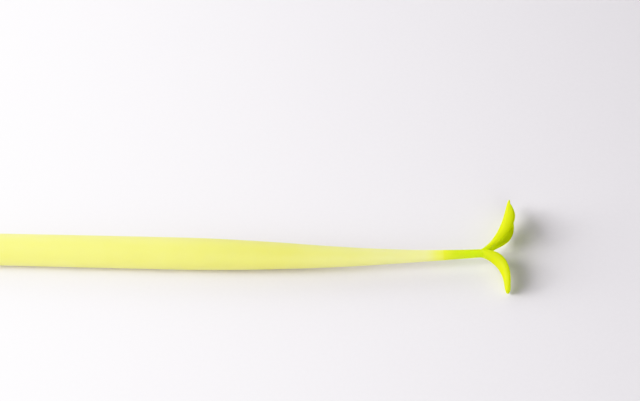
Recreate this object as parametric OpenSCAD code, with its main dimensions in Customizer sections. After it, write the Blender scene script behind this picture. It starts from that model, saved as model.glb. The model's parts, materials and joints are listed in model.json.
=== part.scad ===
// Sprout gel pen: a soft pale barrel over a rigid core tube, running out into
// a gently bent neck that holds a green two-leaf sprout. A gel refill, a
// push-fit nose cone and a soft-skinned cap complete it.
// Lengths are in millimetres. A station is a distance along the pen's axis
// from the closed end of the cap. The pen lies on its side, sprout towards +X.

/* [Barrel] */
// Diameter of the straight part of the barrel
barrel_d = 9.4; // [9.3:0.1:10.4]
// Diameter of the barrel where the cap meets it
barrel_front_d = 9.2; // [9.0:0.1:9.3]
// Station where the straight part of the barrel begins
straight_start = 72; // [66:1:76]
// Station where the barrel begins to taper
taper_start = 101; // [100:1:104]
// Station towards which the taper runs out into the stem
taper_end = 198; // [194:1:204]
// Station where the soft neck begins to bend
bend_start = 138; // [132:1:144]
// Radius of the bend in the neck
bend_radius = 520; // [400:10:900]
// Station where the pale neck ends round the sprout's root
neck_end = 178; // [177:1:180]

/* [Core] */
// Outer diameter of the rigid core tube
core_d = 7.8; // [7.6:0.1:7.9]
// Inner diameter of the core tube, round the refill
core_bore = 6.4; // [6.3:0.1:6.5]
// Station where the core tube ends
core_end = 118; // [117.5:0.5:119]

/* [Sprout] */
// Diameter that the stem tapers towards
stem_d = 2.3; // [2.2:0.1:2.5]
// Diameter of the sprout's root inside the neck
root_d = 2.2; // [2:0.1:2.3]
// Station where the two leaves part
fork = 189.4; // [188:0.2:190]
// Length of the far leaf along its midrib
far_leaf_length = 22.8; // [21.6:0.2:23.4]
// Length of the near leaf along its midrib
near_leaf_length = 14.8; // [14:0.2:15.4]
// How far the far leaf's blade swells beside its midrib, over the curve
far_leaf_swell = 4.4; // [4:0.1:4.6]
// How far the near leaf's blade swells beside its midrib, over the curve
near_leaf_swell = 1.7; // [1.5:0.1:2]
// Thickness of the far leaf
far_leaf_thickness = 1; // [0.9:0.05:1.1]
// Thickness of the near leaf
near_leaf_thickness = 1.4; // [1.2:0.1:1.5]

/* [Refill] */
// Diameter of the writing ball
ball_d = 0.7; // [0.6:0.05:0.7]
// Outer diameter of the ink tube
refill_d = 6; // [5.6:0.1:6]
// Inner diameter of the ink tube
refill_bore = 4.4; // [4:0.1:4.6]
// Length of the refill from its ball to its tail
refill_length = 110; // [106:0.5:110]
// Station where the ink ends and the grease follower begins
ink_end = 104; // [40:1:106]

/* [Cap] */
// Outer diameter of the cap
cap_d = 9.1; // [9:0.05:9.2]
// Station of the cap's open mouth
cap_mouth = 27; // [26:0.5:27]

/* [Nose] */
// Diameter of the nose cone inside the cap
nose_d = 7.1; // [6.9:0.05:7.1]
// Gap between sliding parts, measured on the radius
running_gap = 0.05; // [0.03:0.01:0.08]
// Length of the spigot that pushes into the core tube
spigot_length = 12; // [8:1:14]

/* [Hidden] */
$fn = 96;
barrel_r = barrel_d / 2;
stem_r = stem_d / 2;
root_r = root_d / 2;
core_r = core_d / 2;
core_bore_r = core_bore / 2;
refill_r = refill_d / 2;
refill_bore_r = refill_bore / 2;
nose_r = nose_d / 2;
cap_r = cap_d / 2;
ball_r = ball_d / 2;

// Stations, in the order that the parts lie along the pen.
cap_dome = 4.6;
cap_cup_start = 0.9;
cap_cup_dome = 3.4;
cap_floor = 2.2;
cap_seal_front = 3.3;
cap_throat_end = 4.6;
ball_front = 3.5;
ball_at = ball_front + ball_r;
tip_front = ball_front + 0.2;
seat_end = ball_at + ball_r;
tip_cone_end = 8.2;
nose_front = 8.6;
holder_front = 10.4;
spring_end = 13.6;
shank_end = 14;
nose_cone_end = 20;
nose_step = 20.5;
tube_front = 20.8;
plug_end = 26;
barrel_front = 28;
socket_end = barrel_front + spigot_length;
refill_end = ball_front + refill_length;
stop_front = refill_end + 0.3;
root_start = 164;
// How far the neck's first ring lies inside the turned barrel that it grows from.
neck_step = 0.012;

// Radii of the small parts of the tip.
tip_r = 1.15;
shank_r = 0.8;
channel_r = 0.45;
throat_r = 0.2;
holder_r = 1.95;
holder_bore_r = 0.9;
spigot_bore_r = refill_r + 0.1;
spigot_r = spigot_bore_r + 0.4;
// Ring of the nose cone that shows as a shadow gap between the cap and the barrel.
shoulder_r = barrel_front_d / 2 - 0.25;
cap_bore_r = nose_r + running_gap;
cap_cup_r = cap_r - 0.57;
cap_throat_r = 2.4;
wire_r = 0.05;
coil_r = 0.36;

function smooth(t) = t <= 0 ? 0 : t >= 1 ? 1 : t * t * (3 - 2 * t);
function signed_pow(x, p) = sign(x) * pow(abs(x), p);

// Outer radius of the barrel, the neck and the stem at a station.
function outer_r(s) =
    stem_r + (barrel_r - stem_r) * (1 - smooth((s - taper_start) / (taper_end - taper_start)));

// The pen's axis: straight up to the bend, then an arc in the table's plane.
function turn(s) = max(0, s - bend_start) / bend_radius * 180 / PI;
function axis_x(s) = min(s, bend_start) + bend_radius * sin(turn(s));
function axis_y(s) = bend_radius * (1 - cos(turn(s)));

// Faces of a solid that joins rings of points, with flat ends.
function ring_faces(rings, sides) = [
    for (i = [0 : rings - 2], j = [0 : sides - 1])
        let (k = (j + 1) % sides, a = i * sides, b = a + sides)
            each [[a + j, b + k, a + k], [a + j, b + j, b + k]],
    [for (j = [0 : sides - 1]) j],
    [for (j = [sides - 1 : -1 : 0]) (rings - 1) * sides + j]
];
module ring_solid(rings) {
    points = [for (ring = rings) each ring];
    polyhedron(points, ring_faces(len(rings), len(rings[0])), convexity = 8);
}

// A round bar that follows the pen's axis, its radius a function of station.
function bar_ring(s, r, sides) = [
    for (j = [0 : sides - 1])
        let (a = 360 * j / sides, across = r * cos(a))
            [axis_x(s) - across * sin(turn(s)), axis_y(s) + across * cos(turn(s)), r * sin(a)]
];
module neck_bar(stations, radius, sides = 40)
    ring_solid([for (s = stations) bar_ring(s, radius(s), sides)]);

// Leaves. A midrib curls outwards from the fork, and the blade wraps round it
// as an arc that opens away from the stem. u runs from 0 at the fork to 1 at the tip.
leaf_rings = 30;
leaf_sides = 28;
least_wrap_r = 1.3;
// Per leaf: where its midrib leaves the fork, and what is added to half its thickness there.
far_root = [0.3, 0.44];
near_root = [0.3, 0.22];
// Per leaf: heading of its midrib at the fork and at the tip, and how early it turns.
far_curl = [35.5, 71.8, 2.1];
near_curl = [21.4, 96.6, 1.31];
// Per leaf: wrap of half the blade in degrees, where it is widest, and how pointed it is.
far_blade = [104, 0.56, 1.56];
near_blade = [77, 0.43, 1.58];
// Per leaf: width of half the tip before it is rounded off, and how late the rounding comes.
far_tip = [0.5, 18];
near_tip = [2.2, 12];
// Per leaf: roll about its midrib in degrees, and the share of its length that takes it up.
far_roll = [-1.9, 0.43];
near_roll = [-5, 0.67];
// Per leaf: rise of its tip, and its lower half over its upper.
far_pose = [-0.2, 1.25];
near_pose = [-2.9, 1.24];

function heading(curl, u) = curl.x + (curl.y - curl.x) * (1 - pow(1 - u, curl.z));
function midrib(length, curl) = [
    for (i = 0, p = [0, 0]; i <= leaf_rings;
         h = heading(curl, (i + 0.5) / leaf_rings),
         p = p + length / leaf_rings * [cos(h), sin(h)],
         i = i + 1) p
];
// Width of half the blade at u, over the curve, and half its thickness.
function tip_round(tip, u) = sqrt(1.02 - pow(u, tip.y));
function half_width(swell, blade, tip, u) =
    let (bulge = pow(sin(180 * pow(u, ln(0.5) / ln(blade.y))), blade.z))
    (stem_r * pow(1 - u, 2) + swell * bulge + tip.x * u) * tip_round(tip, u);
function half_thickness(thickness, root, tip, u) =
    (root.y * pow(1 - u, 6) + thickness / 2) * tip_round(tip, u);

// One ring across a blade at u, round a point p of the midrib with heading h. half is
// the width of half the blade, t half its thickness, and side is 1 or -1.
function leaf_ring(u, p, h, half, t, wrap, roll, pose, side) =
    let (
        r = max(half / wrap * 180 / PI, least_wrap_r),
        turned_by = roll.x * min(1, u / roll.y),
        lift = pose.x * pow(u, 2)
    )
    [for (j = [0 : leaf_sides - 1])
        let (
            a = -side * 360 * j / leaf_sides,
            along = signed_pow(cos(a), 0.8) * half / r * 180 / PI,
            shell_r = r + t * signed_pow(sin(a), 0.7),
            deep = r - shell_r * cos(along),
            high = shell_r * sin(along) * (along < 0 ? pose.y : 1),
            depth = deep * cos(turned_by) + high * sin(turned_by),
            x = p.x + depth * sin(h),
            y = side * (p.y - depth * cos(h)),
            z = high * cos(turned_by) - deep * sin(turned_by) + lift
        )
        [axis_x(fork) + x * cos(turn(fork)) - y * sin(turn(fork)),
         axis_y(fork) + x * sin(turn(fork)) + y * cos(turn(fork)),
         z]
    ];
function leaf_points(length, swell, thickness, root, curl, blade, tip, roll, pose, side) =
    let (p = midrib(length, curl))
    [for (i = [0 : leaf_rings])
        let (
            u = i / leaf_rings,
            half = half_width(swell, blade, tip, u),
            t = half_thickness(thickness, root, tip, u)
        )
        leaf_ring(u, p[i] + [root.x, 0], heading(curl, u), half, t, blade.x, roll, pose, side)];

far_leaf = leaf_points(far_leaf_length, far_leaf_swell, far_leaf_thickness,
                       far_root, far_curl, far_blade, far_tip, far_roll, far_pose, 1);
near_leaf = leaf_points(near_leaf_length, near_leaf_swell, near_leaf_thickness,
                        near_root, near_curl, near_blade, near_tip, near_roll, near_pose, -1);
leaf_xs = [for (ring = concat(far_leaf, near_leaf), p = ring) p.x];
leaf_ys = [for (ring = concat(far_leaf, near_leaf), p = ring) p.y];
pen_length = max(leaf_xs);
middle_y = (max(leaf_ys) + min(leaf_ys)) / 2;

// Places a part drawn along the pen's stations: origin under the middle of the
// whole pen, on the surface that it lies on.
module pen_frame() translate([-pen_length / 2, -middle_y, barrel_r]) children();

// A turned part: its half outline is a list of [radius, station] points.
module turned(outline) pen_frame() rotate([0, 90, 0]) rotate_extrude() polygon(outline);

// Soft outer barrel: a blind bore for the core tube, and a solid bent neck
// with a socket for the sprout's root.
module barrel_sleeve() color([0.96, 0.95, 0.62]) {
    turned([
        [core_r, barrel_front], [barrel_front_d / 2 - 0.2, barrel_front],
        [barrel_front_d / 2, barrel_front + 0.3],
        [barrel_r, straight_start],
        for (i = [0 : 12]) let (s = taper_start + (bend_start - taper_start) * i / 12) [outer_r(s), s],
        [0, bend_start], [0, core_end], [core_r, core_end]
    ]);
    difference() {
        pen_frame() neck_bar([for (i = [0 : 16]) bend_start + (neck_end - bend_start) * i / 16],
                             function (s) outer_r(s) - neck_step);
        pen_frame() neck_bar([root_start, neck_end, neck_end + 1], function (s) root_r);
    }
}

// Green sprout: a root held in the neck, a stem and two cupped leaves.
module sprout() color([0.84, 0.94, 0.2]) pen_frame() {
    neck_bar([root_start, neck_end], function (s) root_r);
    neck_bar([for (i = [0 : 8]) neck_end + (fork + 1 - neck_end) * i / 8], function (s) outer_r(s));
    ring_solid(far_leaf);
    ring_solid(near_leaf);
}

module core_tube() color([0.93, 0.93, 0.9])
    turned([
        [spigot_r + running_gap, barrel_front], [core_r, barrel_front],
        [core_r, core_end], [core_bore_r, core_end],
        [core_bore_r, socket_end + 0.2], [spigot_r + running_gap, socket_end + 0.2]
    ]);

// Stop behind the refill: a short cup pressed into the core tube's tail.
module tail_stop() color([0.85, 0.85, 0.82])
    turned([
        [core_bore_r - 0.8, stop_front], [core_bore_r, stop_front],
        [core_bore_r, core_end], [0, core_end],
        [0, core_end - 1.2], [core_bore_r - 0.8, core_end - 1.2]
    ]);

module ink_tube() color([0.9, 0.92, 0.92, 0.5])
    turned([
        [refill_bore_r, tube_front], [refill_r, tube_front],
        [refill_r, refill_end], [refill_bore_r, refill_end]
    ]);

module ink_column() color([0.1, 0.1, 0.12])
    turned([
        [0, shank_end], [holder_bore_r, shank_end], [holder_bore_r, plug_end],
        [refill_bore_r, plug_end], [refill_bore_r, ink_end], [0, ink_end]
    ]);

// Grease that follows the ink, with the hollow tail that surface tension gives it.
module grease_follower() color([0.85, 0.8, 0.55])
    turned([
        [0, ink_end], [refill_bore_r, ink_end], [refill_bore_r, ink_end + 5],
        for (i = [1 : 6]) let (a = 90 * i / 6)
            [refill_bore_r * cos(a), ink_end + 5 - 1.2 * sin(a)]
    ]);

// Plastic holder between the metal tip and the ink tube.
module tip_holder() color([0.95, 0.95, 0.95])
    turned([
        [shank_r, holder_front], [holder_r - 0.35, holder_front], [holder_r, holder_front + 2.2],
        [holder_r, tube_front - 1], [refill_r - 0.1, tube_front - 1], [refill_r - 0.1, tube_front],
        [refill_bore_r, tube_front], [refill_bore_r, plug_end],
        [holder_bore_r, plug_end], [holder_bore_r, shank_end], [shank_r, shank_end]
    ]);

// Metal tip: a cone with the ball's seat, and a shank in the holder.
module tip_body() color([0.78, 0.78, 0.76])
    turned([
        [ball_r - 0.02, tip_front], [ball_r + 0.11, tip_front], [tip_r, tip_cone_end],
        [tip_r, holder_front], [shank_r, holder_front], [shank_r, shank_end],
        [channel_r, shank_end], [channel_r, tip_cone_end - 1],
        [throat_r, tip_cone_end - 1.4], [throat_r, seat_end + 0.2],
        [ball_r + 0.015, seat_end - 0.05], [ball_r + 0.015, ball_at]
    ]);

// Fine spring behind the ball: a straight feeler and a coil.
spring_turns = 9;
spring_steps = 12;
spring_start = tip_cone_end - 0.9;
function spring_point(i) =
    let (n = spring_turns * spring_steps, k = max(0, i - 4))
    i < 4 ? [seat_end + 0.03 + (spring_start - 0.6 - seat_end) * i / 4, 0, 0]
          : [spring_start + (spring_end - spring_start) * k / n,
             coil_r * min(1, k / spring_steps) * cos(360 * k / spring_steps),
             coil_r * min(1, k / spring_steps) * sin(360 * k / spring_steps)];
function spring_ring(i) =
    let (
        along = spring_point(i + 1) - spring_point(max(0, i - 1)),
        ahead = along / norm(along),
        across = cross(ahead, [0, 0.6, 0.8]),
        side = across / norm(across),
        up = cross(side, ahead)
    )
    [for (j = [0 : 5]) spring_point(i) + wire_r * (cos(60 * j) * side - sin(60 * j) * up)];
module tip_spring() color([0.7, 0.7, 0.7]) pen_frame()
    ring_solid([for (i = [0 : spring_turns * spring_steps + 3]) spring_ring(i)]);

module writing_ball() color([0.6, 0.6, 0.6])
    pen_frame() translate([ball_at, 0, 0]) sphere(r = ball_r);

// Nose cone: guides the tip, carries the cap and pushes into the core tube.
module nose_cone() color([0.96, 0.96, 0.93])
    turned([
        [tip_r + 0.1, nose_front], [nose_r - 1.5, nose_front], [nose_r - 1.25, nose_front + 0.25],
        [nose_r, nose_cone_end], [nose_r, cap_mouth + 0.02], [shoulder_r, cap_mouth + 0.02],
        [shoulder_r, barrel_front], [spigot_r, barrel_front],
        [spigot_r, socket_end], [spigot_bore_r, socket_end],
        [spigot_bore_r, nose_step - 0.9], [holder_r + 0.2, nose_step - 1.2],
        [holder_r + 0.2, nose_front + 3.8], [holder_r - 0.05, nose_front + 1.6],
        [tip_r + 0.1, nose_front + 1]
    ]);

// Outline of a domed end, from its middle out to its radius.
function dome(r, start, height) =
    [for (i = [0 : 10]) let (a = 9 * i) [r * sin(a), start + height * (1 - cos(a))]];
function reversed(points) = [for (i = [len(points) - 1 : -1 : 0]) points[i]];
cup_dome = dome(cap_cup_r, cap_cup_start, cap_cup_dome);

// Soft skin of the cap, with a domed end.
module cap_skin() color([0.96, 0.95, 0.62])
    turned(concat(
        dome(cap_r, 0, cap_dome),
        [[cap_r, cap_mouth - 0.3], [cap_r - 0.2, cap_mouth], [cap_cup_r, cap_mouth]],
        reversed(cup_dome)
    ));

// Rigid cup inside the cap: it grips the nose cone.
module cap_cup() color([0.95, 0.95, 0.92])
    turned(concat(
        cup_dome,
        [[cap_cup_r, cap_mouth], [cap_bore_r, cap_mouth], [cap_bore_r, cap_throat_end + 1.4],
         [cap_throat_r, cap_throat_end], [cap_throat_r, cap_floor], [0, cap_floor]]
    ));

// Rubber disc that the tip closes against.
module cap_seal() color([0.35, 0.35, 0.36])
    turned([
        [0, cap_floor], [cap_throat_r, cap_floor], [cap_throat_r, cap_seal_front],
        [1, cap_seal_front], [0.7, cap_seal_front - 0.4], [0, cap_seal_front - 0.4]
    ]);

barrel_sleeve();
sprout();
core_tube();
tail_stop();
ink_tube();
ink_column();
grease_follower();
tip_holder();
tip_body();
tip_spring();
writing_ball();
nose_cone();
cap_skin();
cap_cup();
cap_seal();
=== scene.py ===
"""Looks of the sprout gel pen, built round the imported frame."""
import json
import math

import bmesh
import bpy
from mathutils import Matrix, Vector


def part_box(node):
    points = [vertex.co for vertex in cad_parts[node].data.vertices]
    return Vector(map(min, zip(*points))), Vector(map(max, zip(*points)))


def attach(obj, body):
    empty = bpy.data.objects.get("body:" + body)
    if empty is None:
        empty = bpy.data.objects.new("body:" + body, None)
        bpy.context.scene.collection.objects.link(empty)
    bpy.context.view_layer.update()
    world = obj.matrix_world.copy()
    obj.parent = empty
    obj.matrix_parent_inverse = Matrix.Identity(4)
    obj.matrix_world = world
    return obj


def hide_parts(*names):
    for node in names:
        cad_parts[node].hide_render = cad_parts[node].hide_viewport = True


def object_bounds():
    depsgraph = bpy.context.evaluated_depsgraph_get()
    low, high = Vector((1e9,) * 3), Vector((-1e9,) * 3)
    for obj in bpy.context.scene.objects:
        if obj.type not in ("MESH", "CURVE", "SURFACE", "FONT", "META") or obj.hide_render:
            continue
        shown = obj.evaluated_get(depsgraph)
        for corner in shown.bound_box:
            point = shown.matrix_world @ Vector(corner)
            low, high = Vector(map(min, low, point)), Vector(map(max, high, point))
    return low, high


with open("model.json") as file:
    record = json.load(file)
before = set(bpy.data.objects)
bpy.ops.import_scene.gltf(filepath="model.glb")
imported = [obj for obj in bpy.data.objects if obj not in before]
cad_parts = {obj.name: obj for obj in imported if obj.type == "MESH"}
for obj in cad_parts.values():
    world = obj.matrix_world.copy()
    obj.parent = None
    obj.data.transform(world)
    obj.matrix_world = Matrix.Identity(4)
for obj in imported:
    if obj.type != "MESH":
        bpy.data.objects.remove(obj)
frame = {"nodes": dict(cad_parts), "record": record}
cad_low, cad_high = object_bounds()

# ---------------------------------------------------------------- sizes
# Lengths are in millimetres here and become metres when a mesh is made.
# A station is a distance along the pen's axis from the closed end of the cap.
MM = 0.001
SIDES = 96

BARREL_FRONT = 28.0
BARREL_FRONT_R = 4.6
BARREL_R = 4.7
STRAIGHT_START = 72.0
TAPER_START = 101.0
TAPER_END = 198.0
BEND_START = 138.0
BEND_RADIUS = 520.0
NECK_END = 178.0
ROOT_START = 164.0
ROOT_R = 1.1
CORE_R = 3.9
CORE_END = 118.0
STEM_R = 1.15
FORK = 189.4
CAP_R = 4.55
CAP_CUP_R = 3.98
CAP_MOUTH = 27.0
CAP_DOME = 4.6
CAP_CUP_START = 0.9
CAP_CUP_DOME = 3.4
FRONT_EDGE = 0.35
CAP_LIP = 0.28
# How far the neck's skin laps the stem, and how far it stands proud of it.
NECK_LAP = 0.6
NECK_PROUD = 0.01
# Width of the neck's last ring, which keeps the shading flat up to its edge, and how far
# the skin turns in under it.
NECK_LAST_RING = 0.04
NECK_TUCK = 0.05
# How far the stem reaches into the leaves, and the root under the neck's skin.
STEM_REACH = 0.6
ROOT_CLEARANCE = 0.03

core_low, core_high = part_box("core_tube")
START_X = cad_low.x
AXIS_Y = (core_low.y + core_high.y) / 2
AXIS_Z = (core_low.z + core_high.z) / 2


def smooth(t):
    t = min(1.0, max(0.0, t))
    return t * t * (3 - 2 * t)


def signed_power(x, p):
    return math.copysign(abs(x) ** p, x)


def outer_r(s):
    """Radius of the barrel, the neck and the stem at a station."""
    if s < STRAIGHT_START:
        part = (s - BARREL_FRONT) / (STRAIGHT_START - BARREL_FRONT)
        return BARREL_FRONT_R + (BARREL_R - BARREL_FRONT_R) * part
    taper = smooth((s - TAPER_START) / (TAPER_END - TAPER_START))
    return STEM_R + (BARREL_R - STEM_R) * (1 - taper)


def turn(s):
    """How far the bent neck has turned at a station, in radians."""
    return max(0.0, s - BEND_START) / BEND_RADIUS


def place(s, across=0.0, up=0.0):
    """The point at a station, that far across the axis and above it, in metres."""
    a = turn(s)
    x = min(s, BEND_START) + BEND_RADIUS * math.sin(a) - across * math.sin(a)
    y = BEND_RADIUS * (1 - math.cos(a)) + across * math.cos(a)
    return Vector((START_X + x * MM, AXIS_Y + y * MM, AXIS_Z + up * MM))


# ---------------------------------------------------------------- meshes
def make_piece(name, mesh, material, body, slot, *nodes):
    """Puts a mesh in the scene as a piece that rides a body and stands for CAD nodes."""
    for face in mesh.polygons:
        face.use_smooth = True
    mesh.materials.append(material)
    piece = bpy.data.objects.new(name, mesh)
    bpy.context.scene.collection.objects.link(piece)
    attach(piece, body)
    if nodes:
        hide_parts(*nodes)
    return piece


def ring_mesh(name, rings):
    """A closed skin over rings of points. A ring of one point is a pole."""
    form = bmesh.new()
    made = [[form.verts.new(p) for p in ring] for ring in rings]
    for a, b in zip(made, made[1:]):
        count = max(len(a), len(b))
        for j in range(count):
            k = (j + 1) % count
            if len(a) == 1:
                form.faces.new((a[0], b[j], b[k]))
            elif len(b) == 1:
                form.faces.new((a[j], b[0], a[k]))
            else:
                form.faces.new((a[j], b[j], b[k], a[k]))
    bmesh.ops.recalc_face_normals(form, faces=form.faces)
    mesh = bpy.data.meshes.new(name)
    form.to_mesh(mesh)
    form.free()
    return mesh


def round_ring(s, r, sides=SIDES):
    if r <= 0:
        return [place(s)]
    turns = [2 * math.pi * j / sides for j in range(sides)]
    return [place(s, r * math.cos(a), r * math.sin(a)) for a in turns]


def steps(first, last, pace):
    """Evenly spaced stations from first to last, about a pace apart."""
    count = max(1, round(abs(last - first) / pace))
    return [first + (last - first) * i / count for i in range(count + 1)]


def corner(s, r, size, from_angle, to_angle, count=5):
    """A rounded corner of an outline, as (station, radius) points on an arc."""
    pace = abs(to_angle - from_angle) / count
    angles = [math.radians(a) for a in steps(from_angle, to_angle, pace)]
    return [(s + size * math.cos(a), r + size * math.sin(a)) for a in angles]


def turned_mesh(name, outline):
    """A turned skin: its outline is (station, radius) points from pole to pole."""
    return ring_mesh(name, [round_ring(s, r) for s, r in outline])


def dome(s, r, height, count=24):
    angles = [math.pi / 2 * i / count for i in range(count + 1)]
    return [(s + height * (1 - math.cos(a)), r * math.sin(a)) for a in angles]


def sleeve_mesh():
    """The soft barrel: bore, rounded front edge, skin, and a neck that laps the sprout's shoulder."""
    end = NECK_END + NECK_LAP
    bore = [(CORE_END, 0.0)] + [(s, CORE_R) for s in steps(CORE_END, BARREL_FRONT, 6)]
    centre_r = outer_r(BARREL_FRONT) - FRONT_EDGE
    front = corner(BARREL_FRONT + FRONT_EDGE, centre_r, FRONT_EDGE, 180, 90)
    skin = [(s, outer_r(s)) for s in steps(BARREL_FRONT + FRONT_EDGE + 0.4, NECK_END, 0.75)]
    last_rings = [(s, outer_r(s) + NECK_PROUD) for s in (end - NECK_LAST_RING, end)]
    under = [(end, outer_r(end) - NECK_TUCK), (NECK_END, 0.0)]
    return turned_mesh("barrel_skin", bore + front + skin + last_rings + under)


def cap_mesh():
    """The cap's skin: a domed end, and a rounded lip."""
    outside = dome(0.0, CAP_R, CAP_DOME)
    side = [(s, CAP_R) for s in steps(CAP_DOME + 0.8, CAP_MOUTH - CAP_LIP, 1.2)]
    rim = corner(CAP_MOUTH - CAP_LIP, CAP_R - CAP_LIP, CAP_LIP, 90, 0)
    bore = [(s, CAP_CUP_R) for s in steps(CAP_MOUTH, CAP_CUP_START + CAP_CUP_DOME, 2.5)]
    inside = dome(CAP_CUP_START, CAP_CUP_R, CAP_CUP_DOME)[::-1]
    return turned_mesh("cap_soft_skin", outside + side + rim + bore + inside[1:])


# Per leaf: where its midrib leaves the fork, length, half width and half thickness, with
# what is added to the last at the fork; headings of the midrib at the fork and the tip and
# how early it turns; wrap, widest point and pointedness of the blade; width and bluntness
# of the tip; rise of the tip, roll about the midrib and how soon it is reached; lower half
# over upper.
FAR_LEAF = dict(side=1, start=0.3, length=22.8, width=4.4, thick=0.5, root=0.44,
                base=35.5, tip=71.8, early=2.1, wrap=104.0, widest=0.56, point=1.56,
                tip_width=0.5, blunt=18, lift=-0.2, roll=-1.9, roll_reach=0.43, lower=1.25)
NEAR_LEAF = dict(side=-1, start=0.3, length=14.8, width=1.7, thick=0.7, root=0.22,
                 base=21.4, tip=96.6, early=1.31, wrap=77.0, widest=0.43, point=1.58,
                 tip_width=2.2, blunt=12, lift=-2.9, roll=-5.0, roll_reach=0.67, lower=1.24)
LEAST_WRAP_R = 1.3
# A little over 1, so that the tip ends in a small ring; and how fast the root's extra
# thickness fades.
TIP_ROUNDING = 1.02
ROOT_FADE = 6
# Powers that make a blade's cross section squarer than an ellipse, along it and across.
SQUARE_ALONG = 0.8
SQUARE_ACROSS = 0.7


def heading(leaf, u):
    turned = 1 - (1 - u) ** leaf["early"]
    return math.radians(leaf["base"] + (leaf["tip"] - leaf["base"]) * turned)


def leaf_rings(leaf, rings=90, sides=72):
    """Rings of a cupped leaf, which curls out from the fork and wraps round its midrib."""
    out = []
    x, y = leaf["start"], 0.0
    wrap = math.radians(leaf["wrap"])
    for i in range(rings + 1):
        u = i / rings
        h = heading(leaf, u)
        round_off = math.sqrt(TIP_ROUNDING - u ** leaf["blunt"])
        arch = math.sin(math.pi * u ** (math.log(0.5) / math.log(leaf["widest"])))
        bulge = max(0.0, arch) ** leaf["point"]
        half = (STEM_R * (1 - u) ** 2 + leaf["width"] * bulge + leaf["tip_width"] * u) * round_off
        thick = (leaf["root"] * (1 - u) ** ROOT_FADE + leaf["thick"]) * round_off
        r = max(half / wrap, LEAST_WRAP_R)
        roll = math.radians(leaf["roll"]) * min(1.0, u / leaf["roll_reach"])
        ring = []
        for j in range(sides):
            a = 2 * math.pi * j / sides
            along = signed_power(math.cos(a), SQUARE_ALONG) * half / r
            shell = r + thick * signed_power(math.sin(a), SQUARE_ACROSS)
            deep = r - shell * math.cos(along)
            high = shell * math.sin(along) * (leaf["lower"] if along < 0 else 1.0)
            depth = deep * math.cos(roll) + high * math.sin(roll)
            up = high * math.cos(roll) - deep * math.sin(roll) + leaf["lift"] * u ** 2
            ahead = x + depth * math.sin(h)
            across = leaf["side"] * (y - depth * math.cos(h))
            ring.append(from_fork(ahead, across, up))
        out.append(ring)
        middle = heading(leaf, min(1.0, u + 0.5 / rings))
        x += leaf["length"] / rings * math.cos(middle)
        y += leaf["length"] / rings * math.sin(middle)
    return [[centre(out[0])]] + out + [[centre(out[-1])]]


def centre(points):
    return sum(points, Vector()) / len(points)


def from_fork(ahead, across, up):
    a = turn(FORK)
    forward = Vector((math.cos(a), math.sin(a), 0))
    left = Vector((-math.sin(a), math.cos(a), 0))
    return place(FORK) + (forward * ahead + left * across + Vector((0, 0, up))) * MM


# Size of the cells that the sprout's parts are fused in, and the passes that smooth them.
FUSE_CELL = 0.12
RELAX_PASSES = 6
RELAX_STRENGTH = 0.5


def sprout_mesh():
    """Root, stem and leaves, grown together into one smooth moulding."""
    root = [(s, ROOT_R - ROOT_CLEARANCE) for s in steps(ROOT_START + 0.1, NECK_END + 0.5, 2)]
    stem = [(s, outer_r(s)) for s in steps(NECK_END, FORK + STEM_REACH, 0.6)]
    parts = [
        turned_mesh("root", [(root[0][0], 0.0)] + root + [(root[-1][0], 0.0)]),
        turned_mesh("stem", [(NECK_END, 0.0)] + stem + [(FORK + STEM_REACH, 0.0)]),
        ring_mesh("far_leaf", leaf_rings(FAR_LEAF)),
        ring_mesh("near_leaf", leaf_rings(NEAR_LEAF)),
    ]
    form = bmesh.new()
    for part in parts:
        form.from_mesh(part)
        bpy.data.meshes.remove(part)
    rough = bpy.data.meshes.new("sprout_rough")
    form.to_mesh(rough)
    form.free()
    holder = bpy.data.objects.new("sprout_rough", rough)
    bpy.context.scene.collection.objects.link(holder)
    fuse = holder.modifiers.new("fuse", "REMESH")
    fuse.mode = "VOXEL"
    fuse.voxel_size = FUSE_CELL * MM
    relax = holder.modifiers.new("relax", "SMOOTH")
    relax.factor = RELAX_STRENGTH
    relax.iterations = RELAX_PASSES
    graph = bpy.context.evaluated_depsgraph_get()
    mesh = bpy.data.meshes.new_from_object(holder.evaluated_get(graph))
    bpy.data.objects.remove(holder)
    bpy.data.meshes.remove(rough)
    mesh.name = "sprout_moulding"
    return mesh


# Share of their radius by which the ink and the grease wet into their tube's wall, and the
# angle above which their edges stay sharp.
WETTING = 0.014
SHARPEST_SMOOTH = math.radians(35)


def wetted_mesh(node):
    """A node's mesh, a hair thicker about its axis, so that it shares no face with its tube."""
    mesh = frame["nodes"][node].data.copy()
    mesh.name = node + "_wetted"
    mesh.materials.clear()
    for axis in (1, 2):
        places = [vertex.co[axis] for vertex in mesh.vertices]
        middle = (min(places) + max(places)) / 2
        for vertex in mesh.vertices:
            vertex.co[axis] += (vertex.co[axis] - middle) * WETTING
    return mesh


# ---------------------------------------------------------------- materials
def new_material(name):
    material = bpy.data.materials.new(name)
    material.use_nodes = True
    nodes = material.node_tree.nodes
    return material, material.node_tree, nodes["Principled BSDF"]


def add_node(tree, kind, **settings):
    node = tree.nodes.new(kind)
    for key, value in settings.items():
        if key in node.inputs:
            node.inputs[key].default_value = value
        else:
            setattr(node, key, value)
    return node


def object_noise(tree, scale, detail=3.0, roughness=0.55):
    """Noise in the object's own space, with scale in features per metre."""
    place_node = add_node(tree, "ShaderNodeTexCoord")
    noise = add_node(tree, "ShaderNodeTexNoise", Scale=scale, Detail=detail, Roughness=roughness)
    tree.links.new(place_node.outputs["Object"], noise.inputs["Vector"])
    return noise.outputs["Fac"]


def remap(tree, value, low, high, to_low, to_high):
    node = add_node(tree, "ShaderNodeMapRange")
    tree.links.new(value, node.inputs["Value"])
    for key, number in zip(("From Min", "From Max", "To Min", "To Max"), (low, high, to_low, to_high)):
        node.inputs[key].default_value = number
    return node.outputs["Result"]


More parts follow.
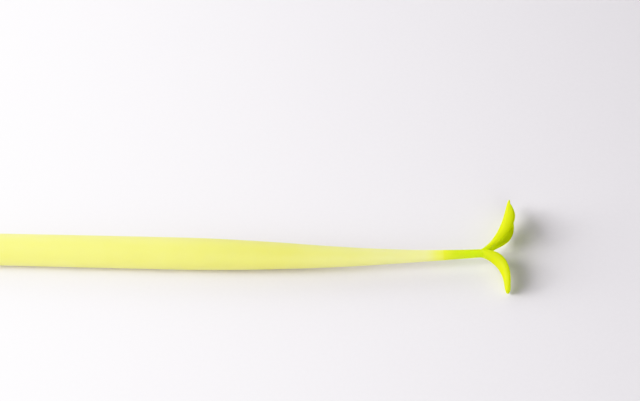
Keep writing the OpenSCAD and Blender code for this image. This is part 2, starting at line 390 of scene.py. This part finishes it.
def mix_colour(tree, factor, first, second, blend="MIX"):
    """A mix of two colours, each of them a tuple, or a socket that brings it."""
    node = add_node(tree, "ShaderNodeMix", data_type="RGBA", blend_type=blend)
    tree.links.new(factor, node.inputs["Factor"])
    for socket, colour in zip(("A", "B"), (first, second)):
        target = [i for i in node.inputs if i.name == socket and i.type == "RGBA"][0]
        if isinstance(colour, tuple):
            target.default_value = (*colour, 1)
        else:
            tree.links.new(colour, target)
    return [o for o in node.outputs if o.type == "RGBA"][0]


def add_bump(tree, shader, height, strength, depth):
    bump = add_node(tree, "ShaderNodeBump", Strength=strength, Distance=depth * MM)
    tree.links.new(height, bump.inputs["Height"])
    tree.links.new(bump.outputs["Normal"], shader.inputs["Normal"])


# The middle part of a noise's range, which its features fill.
NOISE = (0.3, 0.7)
# Scales are in features per metre and depths in millimetres. Silicone: clouding and skin.
CLOUD_SCALE = 90
SKIN_SCALE = 2600
SKIN_DEPTH = 0.06
SKIN_ROUGHNESS = (0.46, 0.6)
# Plastic: flow marks and skin.
FLOW_SCALE = 260
MOULD_SCALE = 1500
MOULD_DEPTH = 0.04
# Metal: turned rings, whose noise is drawn out round the axis.
RING_DEPTH = 0.03
RING_STRETCH = 0.02
RING_NOISE = (0.35, 0.65)
# Paper: tooth, and its two tones.
TOOTH_SCALE = 900
TOOTH_DEPTH = 0.1
PAPER_TONES = ((0.81, 0.775, 0.82), (0.795, 0.76, 0.805))

# Colours of the silicone, of the light that comes through it, and how much of it does.
PALE = (0.785, 0.765, 0.165)
LIME = (0.605, 0.64, 0.006)
LEAF_LIGHT = (0.85, 0.96, 0.02)
LEAF_CLEAR = 0.46
# Stations and colours of the soft barrel and the stem, from pale to green.
NECK_TONES = [
    (132.0, PALE),
    (164.0, (0.865, 0.86, 0.30)),
    (173.0, (0.92, 0.92, 0.34)),
    (175.0, (0.93, 0.96, 0.26)),
    (177.0, (0.93, 0.98, 0.10)),
    (179.0, (0.90, 0.98, 0.04)),
    (182.0, (0.80, 0.98, 0.034)),
    (187.0, (0.73, 0.97, 0.026)),
]
# Stations between which the barrel's inner glow fades, light begins to shine through the
# stem, and lime takes over.
GLOW_FADE = (NECK_END - 6, NECK_END - 1)
BARREL_GLOW = 0.5
CLEARING = (NECK_END + 0.5, NECK_END + 5)
LEAFING = (FORK - 2, FORK + 3)


def along_pen(tree, first, last, to_first, to_last):
    """A value that runs from one number to another between two stations."""
    spot = add_node(tree, "ShaderNodeTexCoord")
    split = add_node(tree, "ShaderNodeSeparateXYZ")
    tree.links.new(spot.outputs["Object"], split.inputs["Vector"])
    return remap(tree, split.outputs["X"], place(first).x, place(last).x, to_first, to_last)


def neck_colour(tree):
    """The colour along the barrel, the neck and the stem, which changes without a line."""
    ramp = add_node(tree, "ShaderNodeValToRGB")
    first, last = NECK_TONES[0][0], NECK_TONES[-1][0]
    tree.links.new(along_pen(tree, first, last, 0, 1), ramp.inputs["Fac"])
    stops = ramp.color_ramp.elements
    stops[0].color = (*NECK_TONES[0][1], 1)
    stops[1].color = (*NECK_TONES[-1][1], 1)
    for station, colour in NECK_TONES[1:-1]:
        stops.new((station - first) / (last - first)).color = (*colour, 1)
    return ramp.outputs["Color"]


def silicone(name, tone, deeper, reach, scatter, shine, sheen):
    """Soft matt silicone with a fine skin. tone(tree) brings its colour, deeper darkens it."""
    material, tree, shader = new_material(name)
    cloud = remap(tree, object_noise(tree, CLOUD_SCALE), *NOISE, 0, 1)
    shade = mix_colour(tree, cloud, tone(tree), deeper, blend="MULTIPLY")
    tree.links.new(shade, shader.inputs["Base Color"])
    skin = object_noise(tree, SKIN_SCALE, detail=4)
    tree.links.new(remap(tree, skin, *NOISE, *SKIN_ROUGHNESS), shader.inputs["Roughness"])
    add_bump(tree, shader, skin, 0.12, SKIN_DEPTH)
    shader.inputs["Subsurface Radius"].default_value = scatter
    shader.inputs["Subsurface Scale"].default_value = reach * MM
    shader.inputs["Specular IOR Level"].default_value = shine
    shader.inputs["Sheen Weight"].default_value = sheen
    shader.inputs["Sheen Roughness"].default_value = 0.5
    return material, tree, shader


def barrel_silicone():
    """Pale silicone that turns green where the sprout's root shows through the neck."""
    material, tree, shader = silicone(
        "pale_silicone", neck_colour, (0.98, 0.97, 0.87),
        reach=1.2, scatter=(1.0, 0.9, 0.3), shine=0.55, sheen=0.15)
    glow = along_pen(tree, *GLOW_FADE, BARREL_GLOW, 0)
    tree.links.new(glow, shader.inputs["Subsurface Weight"])
    return material


def sprout_colour(tree):
    """The neck's colour up to the fork, and lime in the leaves."""
    in_leaf = along_pen(tree, *LEAFING, 0, 1)
    return mix_colour(tree, in_leaf, neck_colour(tree), LIME)


def sprout_silicone():
    """Lime silicone: dense where it leaves the neck, and light shines through from there on."""
    material, tree, shader = silicone(
        "green_silicone", sprout_colour, (0.95, 0.96, 0.6),
        reach=2.0, scatter=(1.0, 1.0, 0.1), shine=0.12, sheen=0.0)
    glow = along_pen(tree, *CLEARING, 0, 1)
    tree.links.new(glow, shader.inputs["Subsurface Weight"])
    through = add_node(tree, "ShaderNodeBsdfTranslucent")
    through.inputs["Color"].default_value = (*LEAF_LIGHT, 1)
    both = add_node(tree, "ShaderNodeMixShader")
    clear = along_pen(tree, *CLEARING, 0, LEAF_CLEAR)
    tree.links.new(clear, both.inputs["Fac"])
    tree.links.new(shader.outputs["BSDF"], both.inputs[1])
    tree.links.new(through.outputs["BSDF"], both.inputs[2])
    tree.links.new(both.outputs["Shader"], tree.nodes["Material Output"].inputs["Surface"])
    return material


def plastic(name, colour, roughness, clear=0.0, cloudy=0.015):
    """Moulded plastic, opaque or translucent, with faint flow marks."""
    material, tree, shader = new_material(name)
    flow = object_noise(tree, FLOW_SCALE, detail=5)
    darker = tuple(max(0.0, c - cloudy) for c in colour)
    shade = mix_colour(tree, remap(tree, flow, *NOISE, 0, 1), colour, darker)
    tree.links.new(shade, shader.inputs["Base Color"])
    rough = remap(tree, flow, *NOISE, roughness * 0.85, roughness * 1.15)
    tree.links.new(rough, shader.inputs["Roughness"])
    add_bump(tree, shader, object_noise(tree, MOULD_SCALE, detail=2), 0.05, MOULD_DEPTH)
    shader.inputs["Transmission Weight"].default_value = clear
    shader.inputs["IOR"].default_value = 1.49
    return material


def metal(name, colour, roughness, grain):
    """Turned metal: fine rings round the pen's axis."""
    material, tree, shader = new_material(name)
    shader.inputs["Metallic"].default_value = 1.0
    place_node = add_node(tree, "ShaderNodeTexCoord")
    stretch = add_node(tree, "ShaderNodeMapping")
    stretch.inputs["Scale"].default_value = (1.0, RING_STRETCH, RING_STRETCH)
    tree.links.new(place_node.outputs["Object"], stretch.inputs["Vector"])
    rings = add_node(tree, "ShaderNodeTexNoise", Scale=grain, Detail=3.0)
    tree.links.new(stretch.outputs["Vector"], rings.inputs["Vector"])
    darker = tuple(c * 0.85 for c in colour)
    ring = rings.outputs["Fac"]
    shade = mix_colour(tree, remap(tree, ring, *RING_NOISE, 0, 1), colour, darker)
    tree.links.new(shade, shader.inputs["Base Color"])
    rough = remap(tree, ring, *NOISE, roughness * 0.7, roughness * 1.3)
    tree.links.new(rough, shader.inputs["Roughness"])
    add_bump(tree, shader, ring, 0.15, RING_DEPTH)
    return material


def paper():
    """White paper: a faint tooth and a very faint lavender cast."""
    material, tree, shader = new_material("white_paper")
    tooth = object_noise(tree, TOOTH_SCALE, detail=6)
    cloud = remap(tree, tooth, *NOISE, 0, 1)
    shade = mix_colour(tree, cloud, *PAPER_TONES)
    tree.links.new(shade, shader.inputs["Base Color"])
    shader.inputs["Roughness"].default_value = 0.85
    shader.inputs["Specular IOR Level"].default_value = 0.2
    add_bump(tree, shader, tooth, 0.25, TOOTH_DEPTH)
    return material


# ---------------------------------------------------------------- pieces
pale_material = barrel_silicone()
make_piece("barrel_skin", sleeve_mesh(), pale_material, "barrel", "pale_silicone", "barrel_sleeve")
make_piece("sprout_moulding", sprout_mesh(), sprout_silicone(), "barrel", "green_silicone", "sprout")
make_piece("cap_soft_skin", cap_mesh(), pale_material, "cap", "pale_silicone", "cap_skin")

FINISHES = {
    "core_plastic": plastic("core_plastic", (0.76, 0.76, 0.70), 0.38),
    "nose_plastic": plastic("nose_plastic", (0.80, 0.80, 0.71), 0.25),
    "clear_plastic": plastic("clear_plastic", (0.88, 0.90, 0.90), 0.14, clear=0.92),
    "ink": plastic("ink", (0.012, 0.012, 0.016), 0.2, cloudy=0.004),
    "grease": plastic("grease", (0.72, 0.62, 0.28), 0.15, clear=0.4),
    "seal_rubber": plastic("seal_rubber", (0.07, 0.07, 0.075), 0.7),
    "tip_metal": metal("tip_metal", (0.72, 0.70, 0.66), 0.28, 9000),
    "spring_steel": metal("spring_steel", (0.60, 0.60, 0.60), 0.35, 4000),
    "ball_carbide": metal("ball_carbide", (0.50, 0.50, 0.52), 0.12, 2000),
}
for part in frame["record"]["subparts"]:
    finish_for_part = FINISHES.get(part["material_slot"])
    if finish_for_part:
        node = frame["nodes"][part["node"]]
        node.data.materials.clear()
        node.data.materials.append(finish_for_part)

for node, slot in (("ink_column", "ink"), ("grease_follower", "grease")):
    filling = make_piece(node + "_filling", wetted_mesh(node), FINISHES[slot], "refill", slot, node)
    filling.data.set_sharp_from_angle(angle=SHARPEST_SMOOTH)


# ---------------------------------------------------------------- scene
# Metres. The camera and the lights look past the neck at a point beside the pen.
FLOOR_HALF_WIDTH = 1.5
LIGHT_DISTANCE = 0.75
AIM = Vector((START_X + 142.35 * MM, AXIS_Y + 20.9 * MM, AXIS_Z))


def add_floor():
    form = bmesh.new()
    w = FLOOR_HALF_WIDTH
    form.faces.new([form.verts.new((x, y, 0)) for x, y in ((-w, -w), (w, -w), (w, w), (-w, w))])
    mesh = bpy.data.meshes.new("paper")
    form.to_mesh(mesh)
    form.free()
    mesh.materials.append(paper())
    floor = bpy.data.objects.new("paper", mesh)
    bpy.context.scene.collection.objects.link(floor)


def add_looking(name, data, aim, azimuth, elevation, distance):
    """A light or a camera that looks at the aim. Azimuth 0 is the camera's side."""
    a, e = math.radians(azimuth), math.radians(elevation)
    back = Vector((math.sin(a) * math.cos(e), -math.cos(a) * math.cos(e), math.sin(e)))
    looking = bpy.data.objects.new(name, data)
    looking.location = aim + back * distance
    looking.rotation_euler = (-back).to_track_quat("-Z", "Y").to_euler()
    bpy.context.scene.collection.objects.link(looking)
    return looking


def add_area_light(name, azimuth, elevation, size, power):
    """A soft round light."""
    data = bpy.data.lights.new(name, "AREA")
    data.shape = "DISK"
    data.size = size
    data.energy = power
    add_looking(name, data, AIM, azimuth, elevation, LIGHT_DISTANCE)


def add_camera(azimuth, elevation, distance, lens):
    data = bpy.data.cameras.new("camera")
    data.sensor_width = 36.0
    data.lens = lens
    bpy.context.scene.camera = add_looking("camera", data, AIM, azimuth, elevation, distance)


def set_world(colour, strength):
    world = bpy.data.worlds.new("studio")
    world.use_nodes = True
    background = world.node_tree.nodes["Background"]
    background.inputs["Color"].default_value = (*colour, 1)
    background.inputs["Strength"].default_value = strength
    bpy.context.scene.world = world


# Tone that comes out as pure white, the tone where the roll-off towards it starts, and the
# tones at which the curve is set.
BRIGHTEST = 1.4
SHOULDER = 0.5
CURVE_TONES = (SHOULDER, 0.6, 0.7, 0.8, 0.9, 1.0, 1.1, 1.25)


def soften_highlights():
    """A photographic shoulder: true up to the middle tones, then bright tones roll off to white."""
    view = bpy.context.scene.view_settings
    view.view_transform = "Standard"
    view.use_curve_mapping = True
    mapping = view.curve_mapping
    mapping.white_level = (BRIGHTEST,) * 3
    curve = mapping.curves[3]
    bend = (BRIGHTEST - SHOULDER) / (1 - SHOULDER)
    for level in CURVE_TONES:
        share = (level - SHOULDER) / (BRIGHTEST - SHOULDER)
        curve.points.new(level / BRIGHTEST, SHOULDER + (1 - SHOULDER) * (1 - (1 - share) ** bend))
    mapping.update()


add_floor()
add_camera(azimuth=1.64, elevation=51.0, distance=0.464, lens=87.65)
# Name, azimuth and elevation in degrees, size in metres, power in watts.
LIGHTS = [
    ("window_low", -84, 15, 0.38, 5.3),
    ("window_middle", -80, 32, 0.38, 3.1),
    ("window_near_side", -66, 40, 0.38, 2.3),
    ("window_far_side", -112, 20, 0.50, 3.4),
    ("far_fill", -160, 32, 0.50, 1.75),
    ("near_fill", 10, 28, 0.50, 2.3),
]
for name, azimuth, elevation, size, power in LIGHTS:
    add_area_light(name, azimuth, elevation, size, power)
set_world(colour=(0.95, 0.93, 1.0), strength=0.02)
soften_highlights()
